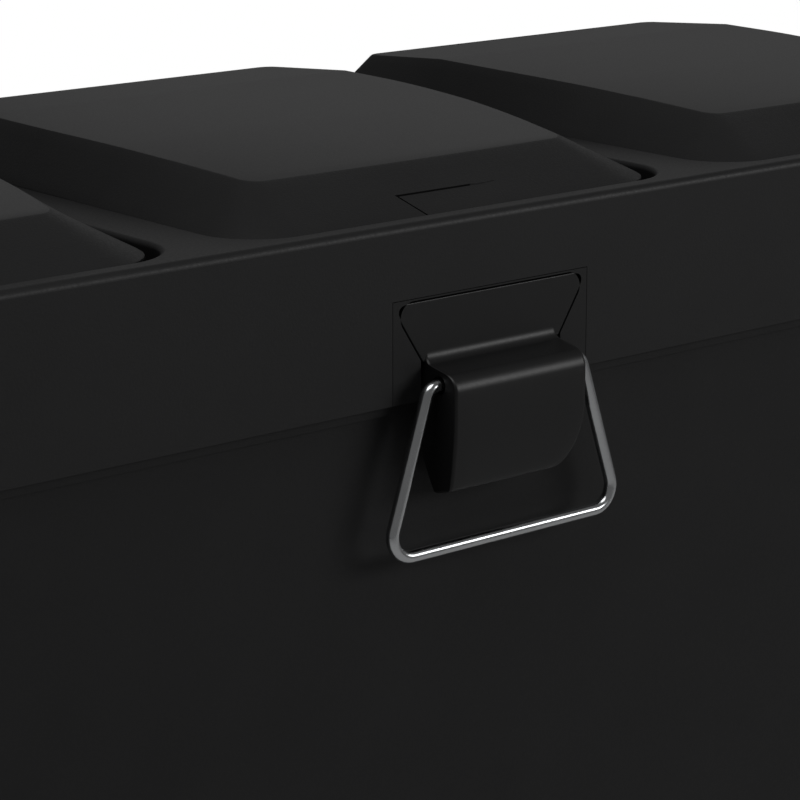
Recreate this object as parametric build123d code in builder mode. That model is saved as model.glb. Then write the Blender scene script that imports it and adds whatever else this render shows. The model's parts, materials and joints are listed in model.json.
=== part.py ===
"""Three-compartment recycling bin.

A tub holds three lift-out buckets.  A rear-hinged top frame carries three lids, each on its own pin,
and a front latch: a rocking lever with a wire bail that hooks under a keeper on the tub.
+Z is up, the front faces -Y, and the origin is the middle of the footprint on the floor.
"""
import os
from math import atan2, cos, sin

from build123d import *

os.makedirs("parts", exist_ok=True)

# ---------------------------------------------------------------- driving dimensions (mm)
# top frame and its openings
lid_pitch = 240.0
opening_width = 216.0
opening_depth = 262.0
opening_corner = 24.0
end_land = 17.0
front_land = 10.0
back_land = 18.0
land_height = 470.0
land_thick = 3.0
land_edge_round = 3.0
opening_edge_round = 2.0
skirt_height = 67.0
skirt_wall = 2.0
frame_corner = 30.0
lip_depth = 12.0
lip_wall = 2.5
lip_ledge = 6.0
lip_ledge_thick = 1.5
seat_width = 7.0
seat_thick = 2.5

# tub
rim_overlap = 12.0
rim_gap = 1.0
rim_proud = 2.0
rim_show = 4.0
tub_wall = 3.0
tub_floor = 3.0
foot_height = 8.0
foot_radius = 14.0
foot_inset = 45.0
foot_screw_radius = 2.5
foot_screw_head = 4.5
foot_screw_head_height = 2.5
foot_recess = 5.0
foot_chamfer = 1.0

# buckets
bucket_drop = 8.0
bucket_gap = 2.5
bucket_wall = 2.0
bucket_rim = 5.0
bucket_rim_thick = 2.0
bucket_taper = 12.0
bucket_corner = 26.0
grip_width = 70.0
grip_height = 20.0
grip_drop = 24.0

# lids
lid_gap = 3.5
lid_wall = 2.5
lid_skirt = 8.0
lid_slope_drop = 1.5
lid_crown = 20.4
lid_mid_height = 18.6
lid_mid_from_front = 106.5
lid_brow_height = 12.2
lid_brow_roll = 5.0
lid_brow_roll_drop = 3.4
lid_brow_inset = 24.5
lid_crease_from_back = 66.5
lid_back_height = 15.2
lid_top_front_half = 66.0
lid_top_mid_half = 87.5
lid_top_back_half = 93.0
lid_top_back_inset = 11.0
lid_top_corner = 9.0
notch_width = 50.0
notch_height = 10.0
notch_deep = 1.4
notch_lean = 5.0
notch_foot = 2.0
bumper_length = 16.0
bumper_gap = 0.3
bumper_spread = 140.0

# lid hinges on the back land
lid_pin_radius = 2.0
lid_pin_back = 10.0
lid_pin_height = 5.5
lid_knuckle_radius = 4.5
lid_knuckle_width = 14.0
lid_knuckle_spread = 104.0
lid_arm_thick = 6.0
lid_post_width = 8.6
lid_pin_end = 4.0

# rear hinges of the top frame
frame_pin_radius = 2.5
frame_knuckle_radius = 6.0
frame_pin_drop = 5.0
frame_hinge_spread = 460.0
frame_hinge_width = 60.0
frame_leaf_height = 24.0
frame_leaf_thick = 4.0
frame_middle_width = 24.0
bracket_plate_thick = 3.0
bracket_plate_height = 34.0
bracket_screw_radius = 2.0
bracket_screw_head = 4.0
bracket_screw_head_height = 2.0
bracket_under_bead = 0.5
frame_pin_chamfer = 0.6

# latch housing in the skirt
plate_width = 97.0
plate_top_drop = 28.0
plate_reveal = 0.25
plate_thick = 2.0
housing_wall = 2.0
housing_reach = 17.0
housing_flange = 11.0
housing_boss = 6.0
housing_boss_radius = 4.5
housing_screw_radius = 1.5
housing_screw_head = 3.0
housing_screw_head_height = 1.6
pocket_floor_lift = 2.0
pocket_clear = 1.0
pin_end_clear = 0.2

# latch lever
pad_top_drop = 30.0
pad_half_top = 48.6
pad_half_low = 33.8
pad_low_drop = 52.0
pad_thick = 3.0
pad_gap = 1.1
pad_corner = 5.0
block_half = 33.0
block_reach = 17.5
block_ledge_drop = 52.5
block_shoulder_drop = 56.0
block_bottom_drop = 100.0
block_back = 2.4
block_wall = 2.6
block_chin_drop = 82.0
block_heel_drop = 86.0
block_toe_in = 3.0
block_heel_out = 6.0
block_shoulder_round = 3.5
lever_pin_radius = 2.0
lever_pin_in = 7.0
lever_pin_drop = 46.0
ear_radius = 4.6
ear_thick = 6.0
ear_spread = 44.0
spring_wire = 0.6
spring_radius = 3.2
spring_turns = 4
spring_leg = 2.4
spring_gap = 0.3

# hook and keeper
keeper_half = 14.0
keeper_drop = 74.0
keeper_thick = 6.0
keeper_reach = 10.0
keeper_plate_height = 26.0
keeper_plate_thick = 1.5
hook_half = 12.0
hook_clear = 3.0
hook_thick = 4.0
keeper_screw_radius = 1.5
keeper_screw_head = 3.0
keeper_screw_spread = 20.0
keeper_screw_head_height = 1.2
keeper_plate_side = 2.0
keeper_under_bead = 1.0
keeper_edge_round = 1.2

# wire bail
wire_radius = 2.5
bail_pin_out = 8.0
bail_pin_drop = 60.0
bail_half_top = 38.0
bail_half_low = 57.0
bail_drop = 62.0
bail_top_bend = 6.0
bail_low_bend = 9.0
bail_hole_clear = 0.1

# clearances and small allowances
pin_clear = 0.08
side_clear = 0.4
seat_clear = 0.3
over_cut = 1.0
match_within = 0.01
pin_stand_out = 1.5
pin_chamfer = 0.4

# ---------------------------------------------------------------- derived places
frame_width = 2 * lid_pitch + opening_width + 2 * end_land
frame_depth = front_land + opening_depth + back_land
hinge_reach = 2 * frame_knuckle_radius
overall_depth = block_reach + frame_depth + hinge_reach
front_y = -overall_depth / 2 + block_reach
back_y = front_y + frame_depth
middle_y = (front_y + back_y) / 2
skirt_bottom = land_height - skirt_height
tub_inset = skirt_wall + rim_gap + rim_proud
tub_top = skirt_bottom + rim_overlap
tub_width = frame_width - 2 * tub_inset
tub_depth = frame_depth - 2 * tub_inset
tub_front = front_y + tub_inset
tub_back = back_y - tub_inset
tub_corner = frame_corner - tub_inset
opening_y = front_y + front_land + opening_depth / 2
lid_width = opening_width - 2 * lid_gap
lid_depth = opening_depth - 2 * lid_gap
lid_front = opening_y - lid_depth / 2
lid_back = opening_y + lid_depth / 2
lid_corner = opening_corner - lid_gap
lid_pin_y = back_y - lid_pin_back
lid_pin_z = land_height + lid_pin_height
frame_pin_y = back_y + frame_knuckle_radius
frame_pin_z = skirt_bottom - frame_pin_drop
lever_pin_y = front_y + lever_pin_in
lever_pin_z = land_height - lever_pin_drop
bail_pin_y = front_y - bail_pin_out
bail_pin_z = land_height - bail_pin_drop
lid_places = {"left": -lid_pitch, "middle": 0.0, "right": lid_pitch}


def save(piece, name):
    """Label one finished piece and write it to its own file."""
    piece.label = name
    export_step(piece, f"parts/{name}.step")


def ring(width, depth, corner, wall, bottom, height):
    """A rounded rectangular ring standing on the level `bottom`, centred on the frame."""
    with BuildPart(mode=Mode.PRIVATE) as band:
        with BuildSketch(Plane.XY.offset(bottom)):
            with Locations((0, middle_y)):
                RectangleRounded(width, depth, corner)
                RectangleRounded(width - 2 * wall, depth - 2 * wall, corner - wall, mode=Mode.SUBTRACT)
        extrude(amount=height)
    return band.part


def rod(x_from, x_to, y, z, radius):
    """A round bar along X."""
    with BuildPart(mode=Mode.PRIVATE) as bar:
        with BuildSketch(Plane.YZ.offset(x_from)):
            with Locations((y, z)):
                Circle(radius)
        extrude(amount=x_to - x_from)
    return bar.part


def block(x_from, x_to, y_from, y_to, z_from, z_to):
    """A plain rectangular bar between two corners."""
    size = (x_to - x_from, y_to - y_from, z_to - z_from)
    place = Pos((x_from + x_to) / 2, (y_from + y_to) / 2, (z_from + z_to) / 2)
    return place * Box(*size, mode=Mode.PRIVATE)


def bore(x, y, z, radius, length):
    """A round bar along Y, centred on a point: a boss, or the tool that drills a hole."""
    return Pos(x, y, z) * Rot(90, 0, 0) * Cylinder(radius, length, mode=Mode.PRIVATE)


def screw(radius, head_radius, head_height, length, place):
    """A pan-head screw: the head stands on the plane `place`, the shank goes back through it."""
    with BuildPart(place, mode=Mode.PRIVATE) as fastener:
        Cylinder(head_radius, head_height, align=(Align.CENTER, Align.CENTER, Align.MIN))
        Cylinder(radius, length, align=(Align.CENTER, Align.CENTER, Align.MAX))
    return fastener.part


def facing_back(x, y, z):
    """A plane at a point, looking towards the back."""
    return Plane(origin=(x, y, z), x_dir=(1, 0, 0), z_dir=(0, 1, 0))


def facing_front(x, y, z):
    """A plane at a point, looking towards the front."""
    return Plane(origin=(x, y, z), x_dir=(1, 0, 0), z_dir=(0, -1, 0))


# ---------------------------------------------------------------- tub
foot_x = tub_width / 2 - foot_inset
foot_y = tub_depth / 2 - foot_inset
bracket_screw_z = frame_pin_z - bracket_plate_height / 2
keeper_top = skirt_bottom - rim_show - keeper_under_bead
keeper_screw_z = keeper_top - keeper_plate_height + keeper_screw_head + keeper_under_bead
hinge_centres = (-frame_hinge_spread / 2, frame_hinge_spread / 2)
bracket_screw_x = [c + s * frame_hinge_width / 3 for c in hinge_centres for s in (-1, 1)]
keeper_screw_x = (-keeper_screw_spread / 2, keeper_screw_spread / 2)

with BuildPart() as tub:
    with BuildSketch(Plane.XY.offset(foot_height)):
        with Locations((0, middle_y)):
            RectangleRounded(tub_width, tub_depth, tub_corner)
    extrude(amount=tub_top - foot_height)
    fillet(tub.faces().sort_by(Axis.Z)[0].edges(), tub_wall * 2)
    with BuildSketch(Plane.XY.offset(foot_height + tub_floor)):
        with Locations((0, middle_y)):
            RectangleRounded(tub_width - 2 * tub_wall, tub_depth - 2 * tub_wall, tub_corner - tub_wall)
    extrude(amount=tub_top - foot_height - tub_floor, mode=Mode.SUBTRACT)
    # rim bead, which the skirt covers except for its lowest stretch
    add(ring(tub_width + 2 * rim_proud, tub_depth + 2 * rim_proud, tub_corner + rim_proud,
             rim_proud + tub_wall / 2, skirt_bottom - rim_show, rim_overlap + rim_show))
    with Locations((0, middle_y, foot_height)):
        with GridLocations(2 * foot_x, 2 * foot_y, 2, 2):
            Cylinder(foot_screw_radius + pin_clear, 3 * tub_floor, mode=Mode.SUBTRACT)
    for x in bracket_screw_x:
        add(bore(x, tub_back, bracket_screw_z, bracket_screw_radius + pin_clear, 3 * tub_wall),
            mode=Mode.SUBTRACT)
    for x in keeper_screw_x:
        add(bore(x, tub_front, keeper_screw_z, keeper_screw_radius + pin_clear, 3 * tub_wall),
            mode=Mode.SUBTRACT)
save(tub.part, "tub")

# ---------------------------------------------------------------- feet and their screws
with BuildPart() as rubber_feet:
    with Locations((0, middle_y, 0)):
        with GridLocations(2 * foot_x, 2 * foot_y, 2, 2):
            Cylinder(foot_radius, foot_height, align=(Align.CENTER, Align.CENTER, Align.MIN))
            Cylinder(foot_screw_radius + pin_clear, foot_height,
                     align=(Align.CENTER, Align.CENTER, Align.MIN), mode=Mode.SUBTRACT)
            Cylinder(foot_screw_head + seat_clear, foot_recess,
                     align=(Align.CENTER, Align.CENTER, Align.MIN), mode=Mode.SUBTRACT)
    chamfer(rubber_feet.edges().filter_by(GeomType.CIRCLE).filter_by(
        lambda e: abs(e.radius - foot_radius) < match_within and e.center().Z < match_within), foot_chamfer)
save(rubber_feet.part, "rubber_feet")

foot_screw_length = foot_height - foot_recess + tub_floor
with BuildPart() as foot_screws:
    with Locations((0, middle_y, foot_recess)):
        with GridLocations(2 * foot_x, 2 * foot_y, 2, 2):
            Cylinder(foot_screw_head, foot_screw_head_height,
                     align=(Align.CENTER, Align.CENTER, Align.MAX))
            Cylinder(foot_screw_radius, foot_screw_length,
                     align=(Align.CENTER, Align.CENTER, Align.MIN))
save(foot_screws.part, "foot_screws")

# ---------------------------------------------------------------- lift-out buckets
bucket_pitch = (tub_width - 2 * tub_wall) / len(lid_places)
bucket_top = tub_top - bucket_drop
bucket_bottom = foot_height + tub_floor
rim_width = bucket_pitch - 2 * bucket_gap
rim_depth = tub_depth - 2 * tub_wall - 2 * bucket_gap


def bucket_outline(centre, level, shrink):
    """One level of the tapering bucket wall, shrunk all round."""
    with BuildSketch(Plane.XY.offset(level), mode=Mode.PRIVATE) as outline:
        with Locations((centre, middle_y)):
            RectangleRounded(rim_width - 2 * shrink, rim_depth - 2 * shrink, bucket_corner - shrink)
    return outline.sketch


for name, place in lid_places.items():
    centre = place / lid_pitch * bucket_pitch
    low = bucket_rim + bucket_taper / 2
    with BuildPart() as bucket:
        add(bucket_outline(centre, bucket_bottom, low))
        add(bucket_outline(centre, bucket_top, bucket_rim))
        loft()
        extrude(bucket_outline(centre, bucket_top - bucket_rim_thick, 0), amount=bucket_rim_thick)
        add(bucket_outline(centre, bucket_bottom + bucket_wall, low + bucket_wall))
        add(bucket_outline(centre, bucket_top, bucket_rim + bucket_wall))
        loft(mode=Mode.SUBTRACT)
        # finger grips through the front and back walls
        with BuildSketch(Plane.XZ.offset(-middle_y)):
            with Locations((centre, bucket_top - grip_drop)):
                SlotOverall(grip_width, grip_height)
        extrude(amount=rim_depth, both=True, mode=Mode.SUBTRACT)
    save(bucket.part, f"bucket_{name}")

# ---------------------------------------------------------------- latch keeper on the tub
with BuildPart() as latch_keeper:
    add(block(-keeper_half - keeper_plate_side, keeper_half + keeper_plate_side,
              tub_front - keeper_plate_thick, tub_front, keeper_top - keeper_plate_height, keeper_top))
    add(block(-keeper_half, keeper_half, tub_front - keeper_reach, tub_front,
              land_height - keeper_drop - keeper_thick, land_height - keeper_drop))
    fillet(latch_keeper.edges().filter_by(Axis.X).group_by(Axis.Y)[0], keeper_edge_round)
    for x in keeper_screw_x:
        add(bore(x, tub_front, keeper_screw_z, keeper_screw_radius + pin_clear, 3 * tub_wall),
            mode=Mode.SUBTRACT)
save(latch_keeper.part, "latch_keeper")

with BuildPart() as keeper_screws:
    for x in keeper_screw_x:
        add(screw(keeper_screw_radius, keeper_screw_head, keeper_screw_head_height,
                  keeper_plate_thick + tub_wall,
                  facing_front(x, tub_front - keeper_plate_thick, keeper_screw_z)))
save(keeper_screws.part, "keeper_screws")

# ---------------------------------------------------------------- rear hinge brackets on the tub
for name, centre in zip(("left", "right"), hinge_centres):
    half = frame_hinge_width / 2
    inner = frame_middle_width / 2 + side_clear
    plate_top = skirt_bottom - rim_show - bracket_under_bead
    with BuildPart() as bracket:
        add(block(centre - half, centre + half, tub_back, tub_back + bracket_plate_thick,
                  plate_top - bracket_plate_height, plate_top))
        for side in (-1, 1):
            ends = sorted((centre + side * inner, centre + side * half))
            add(rod(*ends, frame_pin_y, frame_pin_z, frame_knuckle_radius))
            add(block(*ends, tub_back, frame_pin_y, frame_pin_z - frame_knuckle_radius, frame_pin_z))
        add(rod(centre - half - over_cut, centre + half + over_cut, frame_pin_y, frame_pin_z,
                frame_pin_radius + pin_clear), mode=Mode.SUBTRACT)
        for x in (centre - frame_hinge_width / 3, centre + frame_hinge_width / 3):
            add(bore(x, tub_back, bracket_screw_z, bracket_screw_radius + pin_clear, 3 * tub_wall),
                mode=Mode.SUBTRACT)
    save(bracket.part, f"hinge_bracket_{name}")
    with BuildPart() as frame_pin:
        add(rod(centre - half - pin_stand_out, centre + half + pin_stand_out, frame_pin_y, frame_pin_z,
                frame_pin_radius))
        chamfer(frame_pin.faces().filter_by(Axis.X).edges(), frame_pin_chamfer)
    save(frame_pin.part, f"frame_pin_{name}")

with BuildPart() as bracket_screws:
    for x in bracket_screw_x:
        add(screw(bracket_screw_radius, bracket_screw_head, bracket_screw_head_height,
                  bracket_plate_thick + tub_wall,
                  facing_back(x, tub_back + bracket_plate_thick, bracket_screw_z)))
save(bracket_screws.part, "bracket_screws")

# ---------------------------------------------------------------- top frame
lip_bottom = land_height - lip_depth
seat_bottom = tub_top + seat_clear
window_half = plate_width / 2
window_top = land_height - plate_top_drop
boss_x = window_half + housing_flange / 2
boss_y = front_y + skirt_wall + housing_boss / 2
boss_z = (window_top + seat_bottom + seat_thick) / 2
flange_y = front_y + skirt_wall + housing_boss
knuckle_inner = lid_knuckle_width / 2 + side_clear


def opening_outline(centre, level, grow):
    """One opening's outline at a level, grown all round."""
    with BuildSketch(Plane.XY.offset(level), mode=Mode.PRIVATE) as outline:
        with Locations((centre, opening_y)):
            RectangleRounded(opening_width + 2 * grow, opening_depth + 2 * grow, opening_corner + grow)
    return outline.sketch


with BuildPart() as top_frame:
    with BuildSketch(Plane.XY.offset(skirt_bottom)):
        with Locations((0, middle_y)):
            RectangleRounded(frame_width, frame_depth, frame_corner)
    extrude(amount=skirt_height)
    fillet(top_frame.faces().sort_by(Axis.Z)[-1].edges(), land_edge_round)
    with BuildSketch(Plane.XY.offset(skirt_bottom)):
        with Locations((0, middle_y)):
            RectangleRounded(frame_width - 2 * skirt_wall, frame_depth - 2 * skirt_wall,
                             frame_corner - skirt_wall)
    extrude(amount=skirt_height - land_thick, mode=Mode.SUBTRACT)
    for centre in lid_places.values():
        extrude(opening_outline(centre, lip_bottom, lip_wall), amount=lip_depth - land_thick / 2)
    for centre in lid_places.values():
        extrude(opening_outline(centre, lip_bottom - over_cut, -lip_ledge), amount=lip_depth + 2 * over_cut,
                mode=Mode.SUBTRACT)
        extrude(opening_outline(centre, lip_bottom + lip_ledge_thick, 0), amount=lip_depth + 2 * over_cut,
                mode=Mode.SUBTRACT)
    mouths = top_frame.faces().filter_by(Axis.Z).sort_by(Axis.Z)[-1].inner_wires()
    fillet([edge for wire in mouths for edge in wire.edges()], opening_edge_round)
    # ring that rests on the tub's rim
    add(ring(frame_width - skirt_wall, frame_depth - skirt_wall, frame_corner - skirt_wall / 2,
             seat_width, seat_bottom, seat_thick))
    # window for the latch housing, with a screw boss on each side
    for side in (-1, 1):
        add(bore(side * boss_x, boss_y, boss_z, housing_boss_radius, housing_boss))
    add(block(-window_half, window_half, front_y - over_cut, front_y + housing_reach + over_cut,
              skirt_bottom - over_cut, window_top), mode=Mode.SUBTRACT)
    for side in (-1, 1):
        add(bore(side * boss_x, boss_y + seat_clear, boss_z, housing_screw_radius + pin_clear, housing_boss),
            mode=Mode.SUBTRACT)
    # posts that hold the lid pins
    for centre in lid_places.values():
        for side in (-1, 1):
            arm = centre + side * lid_knuckle_spread / 2
            for post in (-1, 1):
                ends = sorted((arm + post * knuckle_inner, arm + post * (knuckle_inner + lid_post_width)))
                add(rod(*ends, lid_pin_y, lid_pin_z, lid_knuckle_radius))
                add(block(*ends, lid_pin_y - lid_knuckle_radius, lid_pin_y + lid_knuckle_radius,
                          land_height - land_thick / 2, lid_pin_z))
        add(rod(centre - lid_pitch / 2 + over_cut, centre + lid_pitch / 2 - over_cut, lid_pin_y, lid_pin_z,
                lid_pin_radius + pin_clear), mode=Mode.SUBTRACT)
    # rear knuckles
    for centre in hinge_centres:
        ends = (centre - frame_middle_width / 2, centre + frame_middle_width / 2)
        add(rod(*ends, frame_pin_y, frame_pin_z, frame_knuckle_radius))
        add(block(*ends, back_y - skirt_wall / 2, frame_pin_y, skirt_bottom, skirt_bottom + frame_leaf_thick))
        add(block(*ends, back_y, frame_pin_y, frame_pin_z, skirt_bottom + frame_leaf_thick))
        add(block(*ends, back_y - skirt_wall / 2, back_y + frame_leaf_thick, skirt_bottom,
                  skirt_bottom + frame_leaf_height))
        add(rod(ends[0] - over_cut, ends[1] + over_cut, frame_pin_y, frame_pin_z,
                frame_pin_radius + pin_clear),
            mode=Mode.SUBTRACT)
save(top_frame.part, "top_frame")

# ---------------------------------------------------------------- lid bumpers on the opening ledge
with BuildPart() as lid_bumpers:
    ledge_top = lip_bottom + lip_ledge_thick
    for centre in lid_places.values():
        for side in (-1, 1):
            x = centre + side * bumper_spread / 2
            add(block(x - bumper_length / 2, x + bumper_length / 2, lid_front, lid_front + lid_wall,
                      ledge_top, land_height - lid_skirt - bumper_gap))
save(lid_bumpers.part, "lid_bumpers")

# ---------------------------------------------------------------- lids and their pins
brow_y = lid_front + lid_brow_inset
crease_y = lid_back - lid_crease_from_back
slope_angle = atan2(lid_brow_height, lid_brow_inset)
rise = lid_crown / lid_brow_height


def lid_form(centre, inset):
    """The lid's outer form, or the hollow inside it when it is inset by the wall."""
    drop = lid_slope_drop if inset else 0.0
    slope_foot = land_height - drop
    with BuildPart(mode=Mode.PRIVATE) as form:
        with BuildSketch(Plane.XY.offset(land_height - lid_skirt - drop)) as foot:
            with Locations((centre, opening_y)):
                RectangleRounded(lid_width - 2 * inset, lid_depth - 2 * inset, lid_corner - inset)
        extrude(amount=lid_skirt)
        with BuildSketch(Plane.XY.offset(slope_foot)):
            with Locations((centre, opening_y)):
                RectangleRounded(lid_width - 2 * inset, lid_depth - 2 * inset, lid_corner - inset)
        with BuildSketch(Plane.XY.offset(slope_foot + lid_crown)):
            front = lid_front + lid_brow_inset * rise + inset
            back = lid_back - lid_top_back_inset - inset
            ends = (lid_top_front_half - inset, lid_top_mid_half - inset, lid_top_back_half - inset)
            with BuildLine():
                Line((centre - ends[0], front), (centre + ends[0], front))
                ThreePointArc((centre + ends[0], front), (centre + ends[1], lid_front + lid_mid_from_front),
                              (centre + ends[2], back))
                Line((centre + ends[2], back), (centre - ends[2], back))
                ThreePointArc((centre - ends[2], back), (centre - ends[1], lid_front + lid_mid_from_front),
                              (centre - ends[0], front))
            make_face()
            fillet(vertices(), lid_top_corner - inset)
        loft()
        # the gently arched top, with its crease towards the back
        with BuildSketch(Plane.YZ.offset(centre)):
            sink = land_height - inset
            with BuildLine():
                Polyline((brow_y, sink + lid_brow_height),
                         (lid_front - lid_brow_roll, sink + lid_brow_height - lid_brow_roll_drop),
                         (lid_front - lid_brow_roll, land_height - 3 * lid_skirt),
                         (lid_back + lid_brow_roll, land_height - 3 * lid_skirt),
                         (lid_back + lid_brow_roll, sink + lid_back_height),
                         (crease_y, sink + lid_crown))
                ThreePointArc((crease_y, sink + lid_crown),
                              (lid_front + lid_mid_from_front, sink + lid_mid_height),
                              (brow_y, sink + lid_brow_height))
            make_face()
        extrude(amount=lid_width, both=True, mode=Mode.INTERSECT)
    return form.part


for name, centre in lid_places.items():
    with BuildPart() as lid:
        add(lid_form(centre, 0.0))
        add(lid_form(centre, lid_wall), mode=Mode.SUBTRACT)
        # shallow finger notch low on the front slope
        slope = Plane(origin=(centre, lid_front, land_height), x_dir=(1, 0, 0),
                      z_dir=(0, -sin(slope_angle), cos(slope_angle)))
        with BuildSketch(slope):
            wide = notch_width / 2
            narrow = wide - notch_lean
            Polygon((-narrow, -notch_foot), (narrow, -notch_foot), (wide, notch_height),
                    (-wide, notch_height), align=None)
        extrude(amount=-notch_deep, mode=Mode.SUBTRACT)
        for side in (-1, 1):
            arm = centre + side * lid_knuckle_spread / 2
            ends = (arm - lid_knuckle_width / 2, arm + lid_knuckle_width / 2)
            add(rod(*ends, lid_pin_y, lid_pin_z, lid_knuckle_radius))
            add(block(*ends, lid_back - lid_wall - over_cut, lid_pin_y, lid_pin_z - lid_knuckle_radius,
                      lid_pin_z - lid_knuckle_radius + lid_arm_thick))
            add(rod(ends[0] - over_cut, ends[1] + over_cut, lid_pin_y, lid_pin_z,
                    lid_pin_radius + pin_clear), mode=Mode.SUBTRACT)
    save(lid.part, f"lid_{name}")
    reach = lid_knuckle_spread / 2 + knuckle_inner + lid_post_width + lid_pin_end
    with BuildPart() as lid_pin:
        add(rod(centre - reach, centre + reach, lid_pin_y, lid_pin_z, lid_pin_radius))
        chamfer(lid_pin.faces().filter_by(Axis.X).edges(), pin_chamfer)
    save(lid_pin.part, f"lid_pin_{name}")

# ---------------------------------------------------------------- latch housing
pocket_bottom = seat_bottom + pocket_floor_lift
cheek = window_half - plate_reveal


def pad_outline(grow):
    """The lever's pad, wide at the top, grown all round by a gap."""
    top = land_height - pad_top_drop + grow
    low = land_height - pad_low_drop
    wide = pad_half_top + grow
    narrow = pad_half_low + grow
    with BuildSketch(Plane.XZ.offset(-front_y), mode=Mode.PRIVATE) as outline:
        Polygon((wide, top), (-wide, top), (-narrow, low), (-narrow, low - over_cut),
                (narrow, low - over_cut), (narrow, low), align=None)
        fillet(outline.vertices().group_by(Axis.Y)[-1], pad_corner + grow)
    return outline.sketch


with BuildPart() as latch_housing:
    add(block(-cheek, cheek, front_y, front_y + plate_thick, skirt_bottom, window_top - plate_reveal))
    add(block(-cheek, cheek, front_y, front_y + housing_reach, pocket_bottom, window_top - plate_reveal))
    # the pocket behind the plate is open at the top, where the pad's upper edge swings in
    add(block(-cheek + housing_wall, cheek - housing_wall, front_y + plate_thick,
              front_y + housing_reach - housing_wall, pocket_bottom + housing_wall,
              window_top + over_cut), mode=Mode.SUBTRACT)
    for side in (-1, 1):
        ends = sorted((side * (cheek - housing_wall), side * (window_half + housing_flange)))
        add(block(*ends, flange_y, flange_y + housing_wall, pocket_bottom + housing_wall / 2,
                  window_top - plate_reveal - housing_wall / 2))
    # the aperture follows the pad, then runs straight down beside the block
    extrude(pad_outline(pad_gap), amount=-(pad_thick + pocket_clear), mode=Mode.SUBTRACT)
    add(block(-pad_half_low - pad_gap, pad_half_low + pad_gap, front_y - over_cut,
              front_y + pad_thick + pocket_clear, skirt_bottom - over_cut, land_height - pad_low_drop),
        mode=Mode.SUBTRACT)
    add(rod(-cheek - over_cut, cheek + over_cut, lever_pin_y, lever_pin_z, lever_pin_radius + pin_clear),
        mode=Mode.SUBTRACT)
    for side in (-1, 1):
        add(bore(side * boss_x, flange_y, boss_z, housing_screw_radius + pin_clear, 4 * housing_wall),
            mode=Mode.SUBTRACT)
save(latch_housing.part, "latch_housing")

with BuildPart() as housing_screws:
    for side in (-1, 1):
        add(screw(housing_screw_radius, housing_screw_head, housing_screw_head_height,
                  housing_wall + housing_boss - 2 * seat_clear,
                  facing_back(side * boss_x, flange_y + housing_wall, boss_z)))
save(housing_screws.part, "housing_screws")

with BuildPart() as lever_pin:
    add(rod(-cheek + pin_end_clear, cheek - pin_end_clear, lever_pin_y, lever_pin_z, lever_pin_radius))
    chamfer(lever_pin.faces().filter_by(Axis.X).edges(), pin_chamfer)
save(lever_pin.part, "lever_pin")

# ---------------------------------------------------------------- lever spring round its pin
spring_pitch = 2 * spring_wire + spring_gap
spring_length = spring_pitch * spring_turns
with BuildPart() as lever_spring:
    with BuildLine() as coil_path:
        coil = Helix(spring_pitch, spring_length, spring_radius,
                     center=(-spring_length / 2, lever_pin_y, lever_pin_z), direction=(1, 0, 0))
        Line(coil @ 0 - coil % 0 * spring_leg, coil @ 0)
        Line(coil @ 1, coil @ 1 + coil % 1 * spring_leg)
    spring_path = coil_path.wires()[0]
    with BuildSketch(Plane(origin=spring_path @ 0, z_dir=spring_path % 0)):
        Circle(spring_wire)
    sweep(path=spring_path)
save(lever_spring.part, "lever_spring")

# ---------------------------------------------------------------- latch lever
hook_top = land_height - keeper_drop - keeper_thick - hook_clear


def block_profile(inset):
    """The side profile of the pull block; inset, it is the hollow behind it, open at the back."""
    side = block_half - inset
    back = front_y + block_back + inset
    out = front_y - block_reach + inset
    top = land_height - inset
    low = land_height + inset
    with BuildSketch(Plane.YZ.offset(-side), mode=Mode.PRIVATE) as outline:
        Polygon((back, top - block_ledge_drop), (front_y, top - block_ledge_drop),
                (out, top - block_shoulder_drop), (out, land_height - block_chin_drop),
                (out + block_toe_in, low - block_bottom_drop),
                (front_y - block_heel_out, low - block_bottom_drop),
                (back, low - block_heel_drop), align=None)
    return outline.sketch


with BuildPart() as latch_lever:
    extrude(pad_outline(0.0), amount=-pad_thick)
    extrude(block_profile(0.0), amount=2 * block_half)
    extrude(block_profile(block_wall), amount=2 * (block_half - block_wall), mode=Mode.SUBTRACT)
    shoulder = latch_lever.edges().filter_by(Axis.X).filter_by(
        lambda e: abs(e.center().Y - (front_y - block_reach)) < match_within
        and abs(e.center().Z - (land_height - block_shoulder_drop)) < match_within)
    fillet(shoulder, block_shoulder_round)
    # ears on the pivot pin
    for side in (-1, 1):
        ends = (side * ear_spread / 2 - ear_thick / 2, side * ear_spread / 2 + ear_thick / 2)
        add(rod(*ends, lever_pin_y, lever_pin_z, ear_radius))
        add(block(*ends, front_y + pad_thick / 2, lever_pin_y, lever_pin_z - ear_radius,
                  lever_pin_z + ear_radius))
    add(rod(-cheek, cheek, lever_pin_y, lever_pin_z, lever_pin_radius + pin_clear), mode=Mode.SUBTRACT)
    # hook that catches under the keeper
    add(block(-hook_half, hook_half, front_y - block_reach + block_wall / 2,
              front_y + block_back - side_clear, hook_top - hook_thick, hook_top))
    # holes for the bail's ends
    add(rod(-block_half - over_cut, block_half + over_cut, bail_pin_y, bail_pin_z,
            wire_radius + bail_hole_clear), mode=Mode.SUBTRACT)
save(latch_lever.part, "latch_lever")

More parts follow.
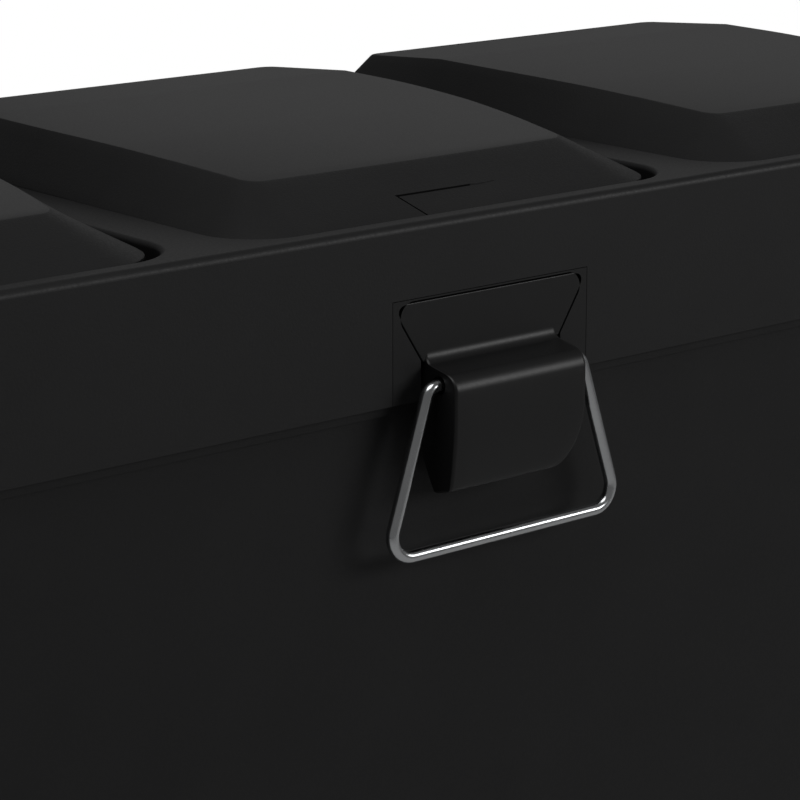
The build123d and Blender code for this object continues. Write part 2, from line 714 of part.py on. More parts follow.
# ---------------------------------------------------------------- wire bail
stub = block_half - block_wall - over_cut
with BuildPart() as wire_bail:
    with BuildLine(Plane(origin=(0, bail_pin_y, bail_pin_z), x_dir=(1, 0, 0), z_dir=(0, -1, 0))) as route:
        FilletPolyline((-stub, 0), (-bail_half_top, 0), (-bail_half_low, -bail_drop),
                       (bail_half_low, -bail_drop), (bail_half_top, 0), (stub, 0),
                       radius=(bail_top_bend, bail_low_bend, bail_low_bend, bail_top_bend))
    wire = route.wires()[0]
    with BuildSketch(Plane(origin=wire @ 0, z_dir=wire % 0)):
        Circle(wire_radius)
    sweep()
save(wire_bail.part, "wire_bail")
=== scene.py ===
# Looks of the three-compartment recycling bin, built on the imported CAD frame.
# Outlines are in millimetres, times MM where they become metres.  Nothing is random.
import json
import math

import bmesh
import bpy
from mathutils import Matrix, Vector


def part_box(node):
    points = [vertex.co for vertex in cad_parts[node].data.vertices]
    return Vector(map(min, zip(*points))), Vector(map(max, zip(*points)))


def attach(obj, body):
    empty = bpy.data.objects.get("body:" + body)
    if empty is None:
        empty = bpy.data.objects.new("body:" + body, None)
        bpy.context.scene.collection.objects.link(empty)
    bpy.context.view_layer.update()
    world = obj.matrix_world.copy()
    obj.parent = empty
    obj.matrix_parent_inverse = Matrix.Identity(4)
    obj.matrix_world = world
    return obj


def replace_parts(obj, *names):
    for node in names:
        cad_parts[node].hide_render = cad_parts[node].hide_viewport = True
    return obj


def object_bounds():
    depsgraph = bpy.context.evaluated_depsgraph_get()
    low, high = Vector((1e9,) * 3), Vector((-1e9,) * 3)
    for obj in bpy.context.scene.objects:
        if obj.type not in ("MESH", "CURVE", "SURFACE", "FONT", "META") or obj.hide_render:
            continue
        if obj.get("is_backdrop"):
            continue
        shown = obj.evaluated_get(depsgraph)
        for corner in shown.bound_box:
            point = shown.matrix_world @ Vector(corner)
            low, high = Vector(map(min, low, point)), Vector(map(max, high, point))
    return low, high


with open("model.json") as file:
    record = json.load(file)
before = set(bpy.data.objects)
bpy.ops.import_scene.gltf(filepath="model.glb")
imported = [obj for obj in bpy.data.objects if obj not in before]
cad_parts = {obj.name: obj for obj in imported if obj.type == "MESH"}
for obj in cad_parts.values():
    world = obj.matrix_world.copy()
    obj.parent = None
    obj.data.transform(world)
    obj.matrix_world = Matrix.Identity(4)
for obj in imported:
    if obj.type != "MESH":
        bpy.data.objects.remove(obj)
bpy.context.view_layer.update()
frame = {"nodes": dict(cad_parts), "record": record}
nodes = frame["nodes"]

MM = 0.001
LID_NAMES = ("left", "middle", "right")
SIDES = ((-1, "a"), (1, "b"))

WALL = 2.4

# ---------------------------------------------------------------- places read from the frame
lid_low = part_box("lid_middle")[0]
front_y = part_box("latch_housing")[0].y
LID_SKIRT = 8.0
land_z = lid_low.z + LID_SKIRT * MM
lid_front = lid_low.y
LID_HALF, LID_DEPTH = 104.5, 255.0
lid_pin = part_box("lid_pin_middle")
lid_pin_y = (lid_pin[0].y + lid_pin[1].y) / 2
lid_pin_z = (lid_pin[0].z + lid_pin[1].z) / 2
lever_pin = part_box("lever_pin")
lever_pin_y = (lever_pin[0].y + lever_pin[1].y) / 2
lever_pin_z = (lever_pin[0].z + lever_pin[1].z) / 2
lid_centres = {}
for name in LID_NAMES:
    low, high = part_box("lid_" + name)
    lid_centres[name] = (low.x + high.x) / 2


# ---------------------------------------------------------------- materials
def new_material(name):
    """An empty node material, its tree, and its shader."""
    material = bpy.data.materials.new(name)
    material.use_nodes = True
    tree = material.node_tree
    shader = tree.nodes["Principled BSDF"]
    return material, tree, shader


def add_noise(tree, coords, scale, detail, rough=0.5, stretch=None):
    """A noise texture in metres on the piece's own coordinates."""
    noise = tree.nodes.new("ShaderNodeTexNoise")
    noise.inputs["Scale"].default_value = scale
    noise.inputs["Detail"].default_value = detail
    noise.inputs["Roughness"].default_value = rough
    source = coords.outputs["Object"]
    if stretch:
        mapping = tree.nodes.new("ShaderNodeMapping")
        mapping.inputs["Scale"].default_value = stretch
        tree.links.new(source, mapping.inputs["Vector"])
        source = mapping.outputs["Vector"]
    tree.links.new(source, noise.inputs["Vector"])
    return noise


def add_range(tree, source, low, high):
    """A value that follows a texture between two limits."""
    ramp = tree.nodes.new("ShaderNodeMapRange")
    ramp.inputs["From Min"].default_value = 0.3
    ramp.inputs["From Max"].default_value = 0.7
    ramp.inputs["To Min"].default_value = low
    ramp.inputs["To Max"].default_value = high
    tree.links.new(source, ramp.inputs["Value"])
    return ramp


def add_tint(tree, source, dark, light):
    """A colour that follows a texture between two colours."""
    ramp = tree.nodes.new("ShaderNodeValToRGB")
    ramp.color_ramp.elements[0].position = 0.32
    ramp.color_ramp.elements[0].color = (*dark, 1)
    ramp.color_ramp.elements[1].position = 0.68
    ramp.color_ramp.elements[1].color = (*light, 1)
    tree.links.new(source, ramp.inputs["Fac"])
    return ramp


CLOUD_SCALE = 22.0


def grained(name, dark, light, rough, specular, grain_scale, grain_depth, grain_strength, metallic=0.0,
            stretch=None):
    """Moulded plastic, rubber or metal: cloudy tint, uneven gloss and a fine surface grain."""
    material, tree, shader = new_material(name)
    coords = tree.nodes.new("ShaderNodeTexCoord")
    wide = add_noise(tree, coords, CLOUD_SCALE, 3.0)
    fine = add_noise(tree, coords, grain_scale, 2.0, 0.6, stretch=stretch)
    tint = add_tint(tree, wide.outputs["Fac"], dark, light)
    gloss = add_range(tree, fine.outputs["Fac"], rough[0], rough[1])
    bump = tree.nodes.new("ShaderNodeBump")
    bump.inputs["Strength"].default_value = grain_strength
    bump.inputs["Distance"].default_value = grain_depth
    tree.links.new(fine.outputs["Fac"], bump.inputs["Height"])
    tree.links.new(tint.outputs["Color"], shader.inputs["Base Color"])
    tree.links.new(gloss.outputs["Result"], shader.inputs["Roughness"])
    tree.links.new(bump.outputs["Normal"], shader.inputs["Normal"])
    shader.inputs["Metallic"].default_value = metallic
    shader.inputs["Specular IOR Level"].default_value = specular
    return material


tub_plastic = grained("tub_plastic", (0.0062, 0.0062, 0.0065), (0.0078, 0.0078, 0.0081), (0.52, 0.62), 0.30,
                      900.0, 0.00012, 0.25)
frame_plastic = grained("frame_plastic", (0.0072, 0.0072, 0.0075), (0.0088, 0.0088, 0.0091), (0.46, 0.56),
                        0.34, 900.0, 0.00012, 0.30)
slope_plastic = grained("slope_plastic", (0.0070, 0.0070, 0.0073), (0.0092, 0.0092, 0.0095), (0.46, 0.60),
                        0.34, 1100.0, 0.00022, 0.50)
panel_plastic = grained("panel_plastic", (0.0080, 0.0080, 0.0083), (0.0092, 0.0092, 0.0095), (0.40, 0.46),
                        0.36, 1500.0, 0.00006, 0.18)
housing_plastic = grained("housing_plastic", (0.0066, 0.0066, 0.0069), (0.0078, 0.0078, 0.0081),
                          (0.46, 0.56), 0.32, 900.0, 0.00010, 0.25)
latch_plastic = grained("latch_plastic", (0.0040, 0.0040, 0.0042), (0.0052, 0.0052, 0.0054), (0.38, 0.44),
                        0.40, 1300.0, 0.00004, 0.15)
bucket_plastic = grained("bucket_plastic", (0.042, 0.042, 0.044), (0.055, 0.055, 0.058), (0.48, 0.6), 0.4,
                         800.0, 0.00015, 0.35)
rubber = grained("rubber", (0.011, 0.011, 0.011), (0.02, 0.02, 0.02), (0.72, 0.9), 0.3, 600.0, 0.0003, 0.5)
chrome_wire = grained("chrome_wire", (0.50, 0.51, 0.52), (0.66, 0.67, 0.68), (0.12, 0.24), 0.5, 260.0,
                      0.00004, 0.12, metallic=1.0, stretch=(1.0, 3.0, 1.0))
zinc_steel = grained("zinc_steel", (0.42, 0.43, 0.45), (0.6, 0.61, 0.62), (0.24, 0.4), 0.5, 1200.0, 0.00005,
                     0.2, metallic=1.0)
pin_steel = grained("pin_steel", (0.36, 0.36, 0.38), (0.55, 0.55, 0.57), (0.2, 0.38), 0.5, 300.0, 0.00005,
                    0.25, metallic=1.0, stretch=(0.05, 1.0, 1.0))
FINISH = {"tub_plastic": tub_plastic, "frame_plastic": frame_plastic, "lid_plastic": slope_plastic,
          "latch_plastic": latch_plastic, "housing_plastic": housing_plastic,
          "bucket_plastic": bucket_plastic, "rubber": rubber, "chrome_wire": chrome_wire,
          "zinc_steel": zinc_steel, "pin_steel": pin_steel}
for part in frame["record"]["subparts"]:
    shown = nodes[part["node"]]
    shown.data.materials.clear()
    shown.data.materials.append(FINISH[part["material_slot"]])


# ---------------------------------------------------------------- mesh helpers
def put(name, verts, faces, materials, body, up=None, crisp=30.0):
    """A mesh piece that rides on a body; `up` is a face index whose normal has to point up."""
    mesh = bpy.data.meshes.new(name)
    mesh.from_pydata([tuple(v) for v in verts], [], faces)
    bm = bmesh.new()
    bm.from_mesh(mesh)
    bmesh.ops.remove_doubles(bm, verts=bm.verts, dist=1e-6)
    bmesh.ops.recalc_face_normals(bm, faces=bm.faces)
    if up is not None:
        bm.faces.ensure_lookup_table()
        bm.normal_update()
        tallest = max(bm.faces, key=lambda f: f.calc_center_median().dot(Vector(up)))
        if tallest.normal.dot(Vector(up)) < 0:
            bmesh.ops.reverse_faces(bm, faces=bm.faces)
    bm.to_mesh(mesh)
    bm.free()
    piece = bpy.data.objects.new(name, mesh)
    bpy.context.scene.collection.objects.link(piece)
    for material in materials:
        mesh.materials.append(material)
    for face in mesh.polygons:
        face.use_smooth = True
    mesh.set_sharp_from_angle(angle=math.radians(crisp))
    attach(piece, body)
    return piece


def bevel(piece, width, segments=2, angle=30.0):
    """Rounds a piece's crisp edges."""
    modifier = piece.modifiers.new("edge", "BEVEL")
    modifier.width = width
    modifier.segments = segments
    modifier.limit_method = "ANGLE"
    modifier.angle_limit = math.radians(angle)


def settle(piece):
    """Turns a piece's modifiers into mesh."""
    graph = bpy.context.evaluated_depsgraph_get()
    mesh = bpy.data.meshes.new_from_object(piece.evaluated_get(graph))
    piece.modifiers.clear()
    piece.data = mesh


def prism(name, profile, x_from, x_to, material, body, edge):
    """A side profile, as (y, z) points in metres, extruded along X with rounded edges."""
    count = len(profile)
    verts = [(x, y, z) for x in (x_from, x_to) for y, z in profile]
    faces = [tuple(range(count)), tuple(range(count, 2 * count))]
    for i in range(count):
        j = (i + 1) % count
        faces.append((i, j, count + j, count + i))
    piece = put(name, verts, faces, [material], body)
    bevel(piece, edge)


def arc(centre, radius, start, end, steps):
    """Points on an arc, the angles in degrees."""
    angles = [math.radians(start + (end - start) * i / steps) for i in range(steps + 1)]
    return [(centre[0] + radius * math.cos(a), centre[1] + radius * math.sin(a)) for a in angles]


def curve_through(stations, at, column):
    """A smooth value along given stations, whose first column is the distance."""
    last = len(stations) - 1
    i = max(k for k in range(last) if stations[k][0] <= at or k == 0)
    near, far = stations[i], stations[i + 1]

    def tangent(k):
        before, after = stations[max(k - 1, 0)], stations[min(k + 1, last)]
        return (after[column] - before[column]) / (after[0] - before[0])

    span = far[0] - near[0]
    t = (at - near[0]) / span
    lift = 2 * t ** 3 - 3 * t ** 2 + 1
    start = (t ** 3 - 2 * t ** 2 + t) * span * tangent(i)
    end = (t ** 3 - t ** 2) * span * tangent(i + 1)
    return lift * near[column] + start + (1 - lift) * far[column] + end


# ---------------------------------------------------------------- lids
# mm behind the lid's front, half width of the top panel, its height above the land
PANEL = ((31.0, 77.6, 12.9), (46.5, 80.4, 14.4), (66.5, 83.8, 16.1), (86.5, 86.7, 17.5), (106.5, 89.1, 18.6),
         (146.5, 92.4, 19.8), (188.5, 93.0, 20.35))
CREASE_AT, PANEL_BACK, BACK_HEIGHT, BACK_HALF = 188.5, 242.5, 16.3, 91.0
PANEL_CORNER, FRONT_BOW = 6.0, 1.0
BASE_CORNER, BACK_CORNER = 25.0, 8.0
NOTCH_HIGH, NOTCH_TOP_HALF, NOTCH_LOW_HALF = 4.6, 25.0, 20.0
NOTCH_SLIT, NOTCH_DEEP, NOTCH_FADE, SLIT_LIP, SLIT_SUNK = 0.8, 2.0, 6.0, 0.2, 0.15
BROW_HEIGHT = PANEL[0][2]
FOOT_DROP = 1.8
FALL = BROW_HEIGHT + FOOT_DROP
NOTCH_SHARE = (NOTCH_HIGH + FOOT_DROP) / FALL
# the panel's softened rim and the foot's turn into the skirt
RIM_IN, LIP_IN, LIP_DOWN = 0.8, 0.22, 0.10
FOOT_EDGE, FOOT_TURN = 0.1, 0.8
KNUCKLE_RADIUS, KNUCKLE_OUT, KNUCKLE_HALF, KNUCKLE_ARM, KNUCKLE_ROOT = 4.5, 52.0, 7.0, 6.0, 3.0
SIDE_STEPS, CREASE_STEP = 40, 29


def panel_half(v):
    """Half width of the panel, v mm behind the lid's front."""
    if v > CREASE_AT:
        share = (v - CREASE_AT) / (PANEL_BACK - CREASE_AT)
        return PANEL[-1][1] + (BACK_HALF - PANEL[-1][1]) * share
    return curve_through(PANEL, v, 1)


def panel_height(v):
    """Height of the panel above the land, v mm behind the lid's front."""
    if v > CREASE_AT:
        share = (v - CREASE_AT) / (PANEL_BACK - CREASE_AT)
        return PANEL[-1][2] + (BACK_HEIGHT - PANEL[-1][2]) * share
    return curve_through(PANEL, max(v, PANEL[0][0]), 2)


def corner_curve(start, corner, end, steps):
    """A rounded corner between two tangent points, without its first point."""
    made = []
    for i in range(1, steps + 1):
        t = i / steps
        w = 0.72 * 2 * t * (1 - t)
        a, b = (1 - t) ** 2, t ** 2
        total = a + w + b
        made.append(((a * start[0] + w * corner[0] + b * end[0]) / total,
                     (a * start[1] + w * corner[1] + b * end[1]) / total))
    return made


def panel_outline(inset):
    """Right half of the panel's outline, from the middle of the front edge to the middle of the back one."""
    front, back = PANEL[0][0] + inset, PANEL_BACK - inset
    corner_x = panel_half(front) - inset
    reach = PANEL_CORNER - inset / 2
    notch = NOTCH_LOW_HALF + (NOTCH_TOP_HALF - NOTCH_LOW_HALF) / NOTCH_SHARE
    xs = [0.0, notch / 2, notch] + [notch + (corner_x - reach - notch) * i / 4 for i in range(1, 5)]
    half = [(x, front + FRONT_BOW * (x / corner_x) ** 2) for x in xs]
    rest = front + FRONT_BOW
    half += corner_curve(half[-1], (corner_x, rest), (panel_half(rest + reach) - inset, rest + reach), 8)
    start, end = half[-1][1], back - reach
    for i in range(1, SIDE_STEPS + 1):
        if i <= CREASE_STEP:
            v = start + (CREASE_AT - start) * i / CREASE_STEP
        else:
            v = CREASE_AT + (end - CREASE_AT) * (i - CREASE_STEP) / (SIDE_STEPS - CREASE_STEP)
        half.append((panel_half(v) - inset, v))
    corner = (panel_half(back) - inset, back)
    half += corner_curve(half[-1], corner, (corner[0] - reach, back), 8)
    x = half[-1][0]
    return half + [(x * (1 - i / 5), back) for i in range(1, 6)]


def base_outline(inset):
    """Right half of the lid's foot, with as many points as the panel's."""
    half_width, radius, tail = LID_HALF - inset, BASE_CORNER - inset, BACK_CORNER - inset
    front, back = inset, LID_DEPTH - inset
    flat, rear = half_width - radius, half_width - tail
    xs = [0.0, NOTCH_LOW_HALF / 2, NOTCH_LOW_HALF]
    xs += [NOTCH_LOW_HALF + (flat - NOTCH_LOW_HALF) * i / 4 for i in range(1, 5)]
    half = [(x, front) for x in xs]
    half += arc((flat, front + radius), radius, -90, 0, 8)[1:]
    start, end = front + radius, back - tail
    half += [(half_width, start + (end - start) * i / SIDE_STEPS) for i in range(1, SIDE_STEPS + 1)]
    half += arc((rear, back - tail), tail, 0, 90, 8)[1:]
    return half + [(rear * (1 - i / 5), back) for i in range(1, 6)]


def loop_of(half):
    """The whole closed loop from its right half."""
    return half + [(-p[0], *p[1:]) for p in half[-2:0:-1]]


def lid_piece(name, centre):
    """One lid: arched panel, ruled slopes, short skirt, finger notch and two hinge knuckles."""
    body = f"lid_{name}_body"

    def place(p):
        return centre + p[0] * MM, lid_front + p[1] * MM, land_z + p[2] * MM

    edge = [(x, v, panel_height(v)) for x, v in panel_outline(0.0)]
    foot = [(x, v, -FOOT_DROP) for x, v in base_outline(0.0)]
    inner = [(x, v, panel_height(v)) for x, v in panel_outline(RIM_IN)]
    lip = [(x, v, panel_height(v) - LIP_DOWN) for x, v in panel_outline(LIP_IN)]
    # how far down the slope each ring lies; one passes along the top of the notch
    shares = [0.035, 0.2, 0.4, 1 - NOTCH_SHARE, 0.8, 0.97]
    rings = [inner, lip]
    for t in shares:
        rings.append([tuple(a + (b - a) * t for a, b in zip(p, q)) for p, q in zip(edge, foot)])
    rings.append([(x, v, -FOOT_DROP - FOOT_EDGE / 2) for x, v in base_outline(FOOT_EDGE)])
    rings.append([(x, v, -FOOT_DROP - FOOT_TURN) for x, v in base_outline(0.0)])
    rings.append([(x, v, -LID_SKIRT) for x, v in base_outline(0.0)])
    loops = [loop_of(ring) for ring in rings]
    count = len(loops[0])
    verts = [place(p) for ring in loops for p in ring]
    faces = []
    last = len(rings[0]) - 1
    for k in range(last):
        near, far = k, k + 1
        faces.append(tuple(dict.fromkeys((near, far, (count - far) % count, (count - near) % count))))
    for r in range(len(loops) - 1):
        for i in range(count):
            j = (i + 1) % count
            faces.append((r * count + i, r * count + j, (r + 1) * count + j, (r + 1) * count + i))
    shell = put(f"lid_{name}_shell", verts, faces, [panel_plastic, slope_plastic], body,
                up=(0, 0, 1), crisp=18.0)
    bm = bmesh.new()
    bm.from_mesh(shell.data)
    notch = []
    for face in bm.faces:
        middle = face.calc_center_median()
        x, v, z = (middle.x - centre) / MM, (middle.y - lid_front) / MM, (middle.z - land_z) / MM
        level = panel_height(v) if v > PANEL[0][0] else 99.0
        face.material_index = 0 if abs(level - z) < 0.12 and abs(face.normal.z) > 0.9 else 1
        if v < PANEL[0][0] * NOTCH_SHARE and z < NOTCH_HIGH and abs(x) < 24.5:
            rim = max(abs(p.co.x - centre) / MM for p in face.verts)
            if rim <= NOTCH_TOP_HALF + 0.1:
                notch.append(face)
    out = sum((face.normal for face in notch), Vector()).normalized()
    for width, depth in ((NOTCH_SLIT, -NOTCH_DEEP), (SLIT_LIP, NOTCH_DEEP - SLIT_SUNK)):
        bmesh.ops.inset_region(bm, faces=notch, thickness=width * MM, use_boundary=False,
                               use_even_offset=True)
        for vert in {vert for face in notch for vert in face.verts}:
            fade = min(max((NOTCH_LOW_HALF - (vert.co.x - centre) / MM) / NOTCH_FADE, 0.0), 1.0)
            vert.co += out * (depth * fade * MM)
    bm.to_mesh(shell.data)
    bm.free()
    shell.data.set_sharp_from_angle(angle=math.radians(18.0))
    solid = shell.modifiers.new("wall", "SOLIDIFY")
    solid.thickness = WALL * MM
    solid.offset = -1.0
    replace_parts(shell, f"lid_{name}")
    low = lid_pin_z - KNUCKLE_RADIUS * MM
    root = lid_front + (LID_DEPTH - KNUCKLE_ROOT) * MM
    barrel = arc((lid_pin_y, lid_pin_z), KNUCKLE_RADIUS * MM, -90, 145, 18)
    for side, label in SIDES:
        x = centre + side * KNUCKLE_OUT * MM
        profile = [(root, low)] + barrel + [(root, low + KNUCKLE_ARM * MM)]
        prism(f"lid_{name}_knuckle_{label}", profile, x - KNUCKLE_HALF * MM, x + KNUCKLE_HALF * MM,
              slope_plastic, body, 0.5 * MM)


for name in LID_NAMES:
    lid_piece(name, lid_centres[name])

# ---------------------------------------------------------------- latch lever
# the block's side line from the pad down: mm in front of the pad's face, mm below the land
BLOCK_SIDE, BLOCK_REACH = 33.0, 17.5
HOLLOW_RADIUS, SHOULDER_RADIUS, LEDGE_TILT = 4.6, 7.0, 14
HOLLOW_AT = (HOLLOW_RADIUS, 49.0)
SHOULDER_AT = (BLOCK_REACH - SHOULDER_RADIUS, 61.8)
BLOCK_LINE = [(HOLLOW_AT[0] - HOLLOW_RADIUS * math.cos(math.radians(a)),
               HOLLOW_AT[1] + HOLLOW_RADIUS * math.sin(math.radians(a)))
              for a in range(0, 91 - LEDGE_TILT, 6)]
BLOCK_LINE += [(SHOULDER_AT[0] + SHOULDER_RADIUS * math.sin(math.radians(a)),
                SHOULDER_AT[1] - SHOULDER_RADIUS * math.cos(math.radians(a)))
               for a in range(LEDGE_TILT, 91, 6)]
BLOCK_LINE += [(17.5, 64.0), (17.5, 68.0), (17.5, 72.0), (17.4, 76.0), (17.2, 80.0), (16.9, 84.0),
               (16.5, 88.0), (16.1, 91.0), (15.8, 93.5), (15.5, 95.5), (15.2, 97.0), (14.9, 98.2),
               (14.5, 99.0), (13.8, 99.6), (12.8, 100.0)]
CORNER_LEFT, CORNER_RIGHT = 1.3, 2.2
BLOCK_BACK, HEEL_DROP, BLOCK_DROP, HEEL_OUT = 2.4, 86.0, 100.0, 6.0
FOOT_ACROSS, FOOT_UP, FOOT_TILT, TUCK_UP = 16.0, 24.0, 0.018, 1.0
BAIL_OUT, BAIL_DROP, BAIL_HOLE = 8.0, 60.0, 3.5


def block_back(drop):
    """How far behind the pad's face the block's side ends, at a drop below the land."""
    if drop <= HEEL_DROP:
        return BLOCK_BACK
    share = (drop - HEEL_DROP) / (BLOCK_DROP - HEEL_DROP)
    return BLOCK_BACK - (BLOCK_BACK + HEEL_OUT) * share


def block_section(out, drop):
    """One level of the block: right side, rounded front corners and left side."""
    back = block_back(drop)
    share = min(max((drop - BLOCK_DROP + FOOT_UP) / FOOT_UP, 0.0), 1.0)
    right = BLOCK_SIDE - FOOT_ACROSS * (1 - math.sqrt(1 - share * share))
    tuck = max(drop - BLOCK_DROP + TUCK_UP, 0.0)
    line = []
    for side, radius in ((right, CORNER_RIGHT), (BLOCK_SIDE - tuck, CORNER_LEFT)):
        radius = min(radius, max(out + back - 0.1, 0.1))
        corner = arc((side - radius, out - radius), radius, 0, 90, 8)
        half = [(side, -back + (out - radius + back) * i / 4) for i in range(4)] + corner
        line.append(half)
    middle = [(line[0][-1][0] + (-line[1][-1][0] - line[0][-1][0]) * i / 8, out) for i in range(1, 8)]
    return line[0] + middle + [(-x, y) for x, y in line[1][::-1]]


def lever_piece():
    """Pull block: a hollow shell, open at the back, with the two holes for the bail's ends."""
    loops = []
    for out, drop in BLOCK_LINE:
        tilt = FOOT_TILT * max(drop - HEEL_DROP, 0)
        loops.append([(x, y, drop + tilt * (out - y)) for x, y in block_section(out, drop)])
    count = len(loops[0])
    verts = [(x * MM, front_y - y * MM, land_z - drop * MM) for ring in loops for x, y, drop in ring]
    faces = []
    for r in range(len(loops) - 1):
        for i in range(count - 1):
            faces.append((r * count + i, r * count + i + 1, (r + 1) * count + i + 1, (r + 1) * count + i))
    start = (len(loops) - 1) * count
    faces.append(tuple(range(start, start + count)))
    shell = put("latch_block", verts, faces, [latch_plastic], "lever_body",
                up=(0, -1, 0), crisp=40.0)
    solid = shell.modifiers.new("wall", "SOLIDIFY")
    solid.thickness = WALL * MM
    solid.offset = -1.0
    drill_mesh = bpy.data.meshes.new("drill")
    bm = bmesh.new()
    bmesh.ops.create_cone(bm, cap_ends=True, segments=40, radius1=BAIL_HOLE * MM, radius2=BAIL_HOLE * MM,
                          depth=0.08)
    bmesh.ops.rotate(bm, verts=bm.verts, cent=(0, 0, 0),
                     matrix=Vector((0, 0, 1)).rotation_difference(Vector((1, 0, 0))).to_matrix())
    bmesh.ops.translate(bm, verts=bm.verts, vec=(0, front_y - BAIL_OUT * MM, land_z - BAIL_DROP * MM))
    bm.to_mesh(drill_mesh)
    bm.free()
    drill = bpy.data.objects.new("drill", drill_mesh)
    bpy.context.scene.collection.objects.link(drill)
    cut = shell.modifiers.new("holes", "BOOLEAN")
    cut.object = drill
    cut.operation = "DIFFERENCE"
    cut.solver = "MANIFOLD"
    bpy.context.view_layer.update()
    settle(shell)
    bpy.data.objects.remove(drill)
    shell.data.set_sharp_from_angle(angle=math.radians(40.0))
    return shell


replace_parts(lever_piece(), "latch_lever")

# pad behind the block, wide at the top with two rounded corners
PAD_TOP, PAD_LOW, PAD_TOP_HALF, PAD_LOW_HALF, PAD_THICK, PAD_ROUND = 29.5, 52.6, 48.5, 33.8, 3.0, 6.75
PAD_EDGE = 0.35 * MM


def pad_piece():
    """The lever's flat pad."""
    corner = (PAD_TOP_HALF, -PAD_TOP)
    down = Vector((PAD_LOW_HALF - PAD_TOP_HALF, PAD_TOP - PAD_LOW)).normalized()
    start = (corner[0] + down.x * PAD_ROUND, corner[1] + down.y * PAD_ROUND)
    end = (corner[0] - PAD_ROUND, corner[1])
    right = [(PAD_LOW_HALF, -PAD_LOW), start] + corner_curve(start, corner, end, 10)
    outline = right + [(-x, z) for x, z in right[::-1]]
    count = len(outline)
    verts = [(x * MM, front_y + y * MM, land_z + z * MM) for y in (0.0, PAD_THICK) for x, z in outline]
    faces = [tuple(range(count)), tuple(range(count, 2 * count))]
    faces += [(i, (i + 1) % count, count + (i + 1) % count, count + i) for i in range(count)]
    pad = put("latch_pad", verts, faces, [latch_plastic], "lever_body")
    bevel(pad, PAD_EDGE, 3, 40.0)


pad_piece()
EAR_RADIUS, EAR_OUT, EAR_HALF, EAR_BACK = 4.6 * MM, 22 * MM, 3 * MM, 1.6 * MM
HOOK_HALF, HOOK_LOW, HOOK_TOP, HOOK_FRONT, HOOK_TIP = 12 * MM, 87 * MM, 83 * MM, 16.2 * MM, 2.0 * MM
LATCH_EDGE = 0.4 * MM
for side, label in SIDES:
    x = side * EAR_OUT
    round_end = arc((lever_pin_y, lever_pin_z), EAR_RADIUS, -90, 90, 16)
    ear = [(front_y + EAR_BACK, lever_pin_z - EAR_RADIUS)] + round_end
    ear += [(front_y + EAR_BACK, lever_pin_z + EAR_RADIUS)]
    prism(f"latch_ear_{label}", ear, x - EAR_HALF, x + EAR_HALF, latch_plastic, "lever_body",
          LATCH_EDGE)
hook = [(front_y - HOOK_FRONT, land_z - HOOK_LOW), (front_y + EAR_BACK, land_z - HOOK_LOW),
        (front_y + HOOK_TIP, land_z - HOOK_TOP), (front_y - HOOK_FRONT, land_z - HOOK_TOP)]
prism("latch_hook", hook, -HOOK_HALF, HOOK_HALF, latch_plastic, "lever_body", LATCH_EDGE)

# ---------------------------------------------------------------- wire bail
WIRE = 2.5
BAIL_TOP_HALF, BAIL_LOW_HALF, BAIL_LENGTH = 38.0, 58.6, 63.0
TOP_BEND, LOW_BEND = 5.0, 9.0


def bent(points, radii, steps=12):
    """A flat path of straight runs joined by arcs."""
    path = [Vector(points[0])]
    for before, at, after, radius in zip(points, points[1:], points[2:], radii):
        at = Vector(at)
        back, on = (Vector(before) - at).normalized(), (Vector(after) - at).normalized()
        half = back.angle(on) / 2
        reach = radius / math.tan(half)
        middle = at + (back + on).normalized() * (radius / math.sin(half))
        first, final = at + back * reach - middle, at + on * reach - middle
        turn = first.angle(final)
        for i in range(steps + 1):
            t = i / steps
            path.append(middle + (first * math.sin((1 - t) * turn) + final * math.sin(t * turn))
                        / math.sin(turn))
    return path + [Vector(points[-1])]


bail_data = bpy.data.curves.new("bail_wire", "CURVE")
bail_data.dimensions = "3D"
bail_data.bevel_depth = WIRE * MM
bail_data.bevel_resolution = 8
bail_data.use_fill_caps = True
route = bent([(-29.5, 0), (-BAIL_TOP_HALF, 0), (-BAIL_LOW_HALF, -BAIL_LENGTH), (BAIL_LOW_HALF, -BAIL_LENGTH),
              (BAIL_TOP_HALF, 0), (29.5, 0)], (TOP_BEND, LOW_BEND, LOW_BEND, TOP_BEND))
spline = bail_data.splines.new("POLY")
spline.points.add(len(route) - 1)
for point, at in zip(spline.points, route):
    point.co = (at.x * MM, front_y - BAIL_OUT * MM, land_z + (at.y - BAIL_DROP) * MM, 1)
spline.use_smooth = True
bail = bpy.data.objects.new("bail_wire", bail_data)
bpy.context.scene.collection.objects.link(bail)
bail_data.materials.append(chrome_wire)
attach(bail, "bail_body")
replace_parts(bail, "wire_bail")

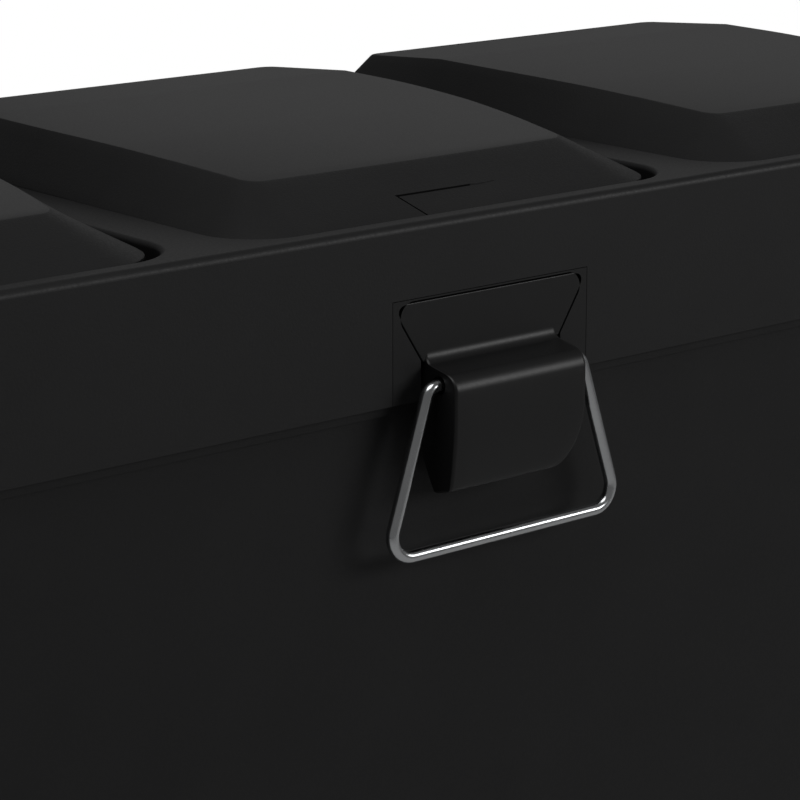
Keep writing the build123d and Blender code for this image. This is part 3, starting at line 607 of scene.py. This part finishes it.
# ---------------------------------------------------------------- floor, light and camera
FLOOR_SPAN = 1.5
floor_mesh = bpy.data.meshes.new("floor")
floor_mesh.from_pydata([(-FLOOR_SPAN, -FLOOR_SPAN, 0), (FLOOR_SPAN, -FLOOR_SPAN, 0),
                        (FLOOR_SPAN, FLOOR_SPAN, 0), (-FLOOR_SPAN, FLOOR_SPAN, 0)], [], [(0, 1, 2, 3)])
floor = bpy.data.objects.new("floor", floor_mesh)
bpy.context.scene.collection.objects.link(floor)
floor_mat, _, floor_shader = new_material("floor_pale")
floor_shader.inputs["Base Color"].default_value = (0.62, 0.62, 0.62, 1)
floor_shader.inputs["Roughness"].default_value = 0.9
floor_mesh.materials.append(floor_mat)
floor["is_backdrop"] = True

world = bpy.data.worlds.new("studio")
bpy.context.scene.world = world
world.use_nodes = True
sky = world.node_tree
backdrop = sky.nodes["Background"]
backdrop.inputs["Color"].default_value = (1, 1, 1, 1)
backdrop.inputs["Strength"].default_value = 1.0
ambient = sky.nodes.new("ShaderNodeBackground")
ambient.inputs["Color"].default_value = (1, 1, 1, 1)
ambient.inputs["Strength"].default_value = 0.13
seen = sky.nodes.new("ShaderNodeLightPath")
blend = sky.nodes.new("ShaderNodeMixShader")
sky.links.new(seen.outputs["Is Camera Ray"], blend.inputs["Fac"])
sky.links.new(ambient.outputs["Background"], blend.inputs[1])
sky.links.new(backdrop.outputs["Background"], blend.inputs[2])
sky.links.new(blend.outputs["Shader"], sky.nodes["World Output"].inputs["Surface"])


def softbox(name, place, aim, width, height, power, spread=180.0):
    """A soft area light that looks at a point."""
    light = bpy.data.lights.new(name, "AREA")
    light.shape = "RECTANGLE"
    light.size = width
    light.size_y = height
    light.energy = power
    light.spread = math.radians(spread)
    lamp = bpy.data.objects.new(name, light)
    lamp.location = place
    lamp.rotation_euler = (Vector(aim) - Vector(place)).to_track_quat("-Z", "Y").to_euler()
    bpy.context.scene.collection.objects.link(lamp)


softbox("back_light", (2.4, 2.3, 1.8), (0, 0, 0.45), 2.4, 1.2, 2.0)
softbox("top_light", (-0.6, -0.6, 2.3), (0, 0, 0.4), 1.6, 1.2, 4.5, 90)
softbox("front_light", (1.9, -2.3, 1.32), (0, -0.1, 0.45), 2.0, 0.9, 4.2, 70)

AZIMUTH, ELEVATION, LENS = 39.91, 14.82, 131.96
camera_data = bpy.data.cameras.new("camera")
camera_data.lens = LENS
camera_data.sensor_width = 36.0
camera_data.clip_start = 0.05
camera = bpy.data.objects.new("camera", camera_data)
camera.location = (-0.7111, -0.93865, 0.67965)
camera.rotation_euler = (math.radians(90 - ELEVATION), 0, -math.radians(AZIMUTH))
bpy.context.scene.collection.objects.link(camera)
bpy.context.scene.camera = camera
bpy.context.scene.view_settings.view_transform = "Standard"

low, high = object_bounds()
